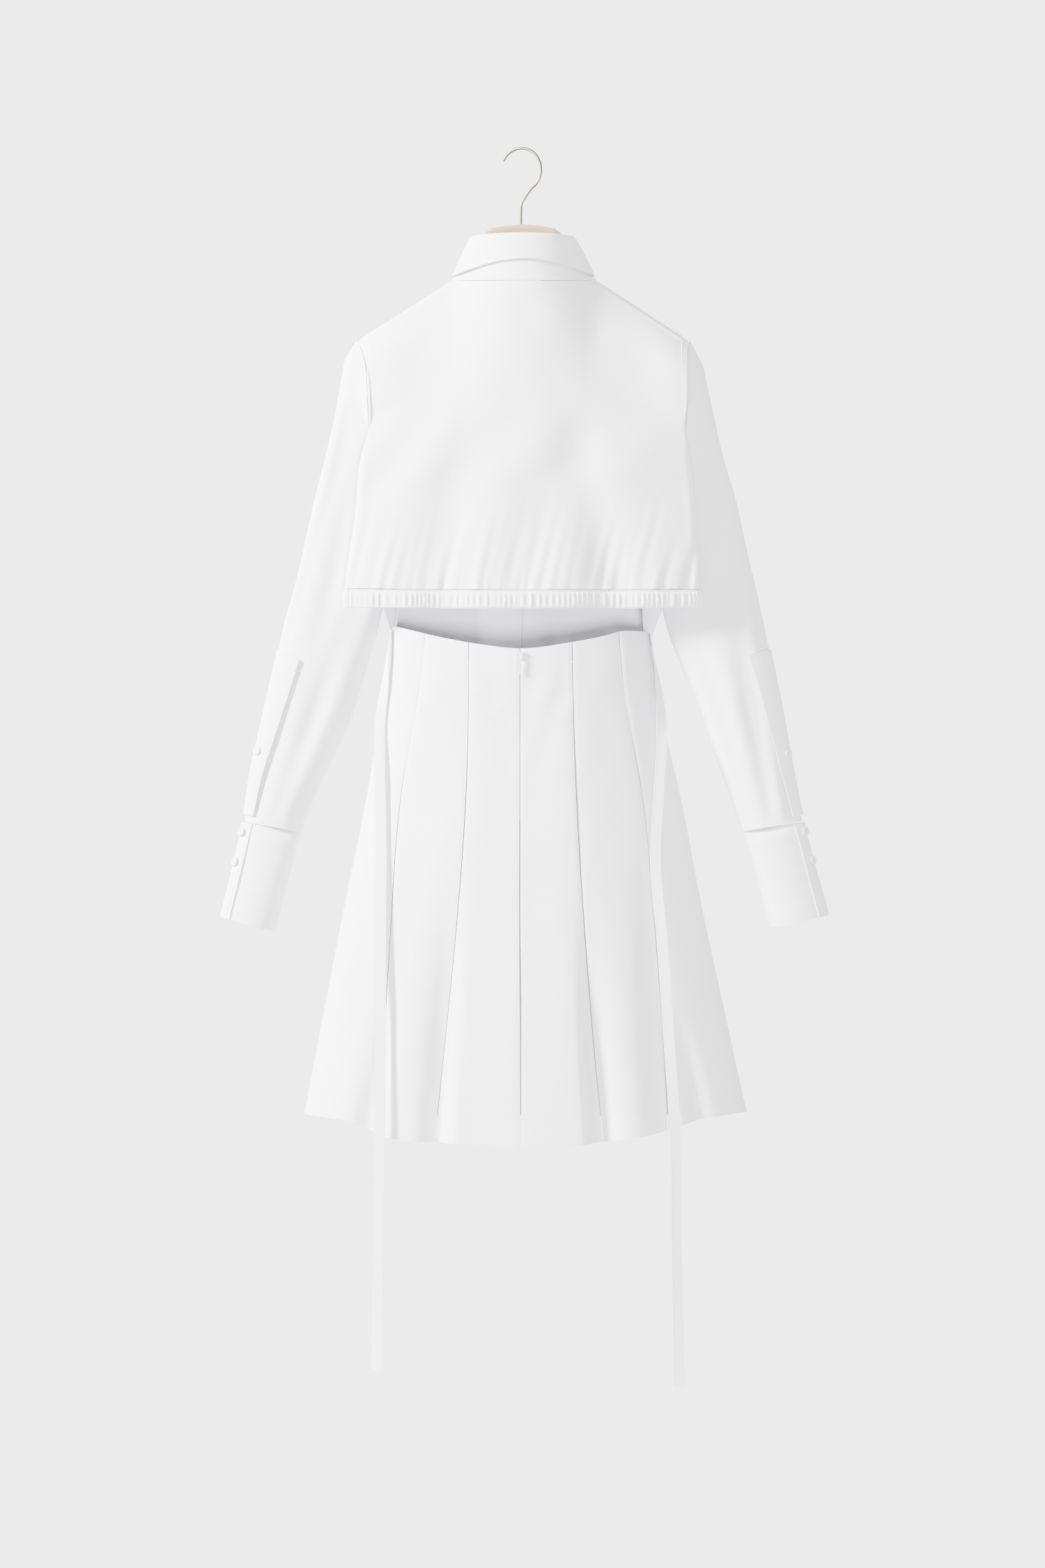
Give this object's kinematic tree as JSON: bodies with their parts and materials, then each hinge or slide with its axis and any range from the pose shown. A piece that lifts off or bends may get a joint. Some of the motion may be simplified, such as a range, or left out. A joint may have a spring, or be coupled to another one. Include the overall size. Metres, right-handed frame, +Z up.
{
  "type": "shirt dress on a hanger",
  "caption": "Long-sleeved shirt dress with an open back, elasticated back hem, flared skirt and long ties, hung on a wooden hanger with a wire hook.",
  "frame": {"origin": "inside top of the hanger's hook, where a rail carries it", "axes": "+Z up, +Y towards the dress's back, -Y its buttoned front, +X its wearer's left"},
  "size_m": [0.6864, 0.1637, 1.3854],
  "materials": {
    "cotton": "white cotton poplin",
    "button": "white pearly button",
    "zip": "white zip tape",
    "zip_metal": "white enamelled zip slider",
    "beech": "light beech, satin",
    "nickel": "satin nickel wire"
  },
  "bodies": {
    "root": {"back": "cotton", "button_cuff_left_1": "button", "button_cuff_left_2": "button", "button_cuff_right_1": "button", "button_cuff_right_2": "button", "button_front_1": "button", "button_front_2": "button", "button_front_3": "button", "button_front_4": "button", "button_front_5": "button", "button_sleeve_left": "button", "button_sleeve_right": "button", "casing_back": "cotton", "casing_left": "cotton", "casing_right": "cotton", "collar_fall": "cotton", "collar_stand": "cotton", "cuff_left": "cotton", "cuff_right": "cotton", "front_left": "cotton", "front_placket": "cotton", "front_right": "cotton", "hanger_body": "beech", "hanger_hook": "nickel", "skirt_back_left": "cotton", "skirt_back_right": "cotton", "skirt_front": "cotton", "skirt_mid_back_left": "cotton", "skirt_mid_back_right": "cotton", "skirt_side_back_left": "cotton", "skirt_side_back_right": "cotton", "sleeve_left": "cotton", "sleeve_placket_left": "cotton", "sleeve_placket_right": "cotton", "sleeve_right": "cotton", "tie_left": "cotton", "tie_right": "cotton", "zip_slider": "zip_metal", "zip_tape_left": "zip", "zip_tape_right": "zip"},
    "pull_tab": {"zip_pull_tab": "zip_metal"}
  },
  "joints": [
    {"name": "pull_tab_hinge", "type": "hinge", "parent": "root", "child": "pull_tab", "pos_m": [0.003, 0.05869, -0.574], "axis": [1, 0, 0], "range_deg": [0, 150]}
  ]
}
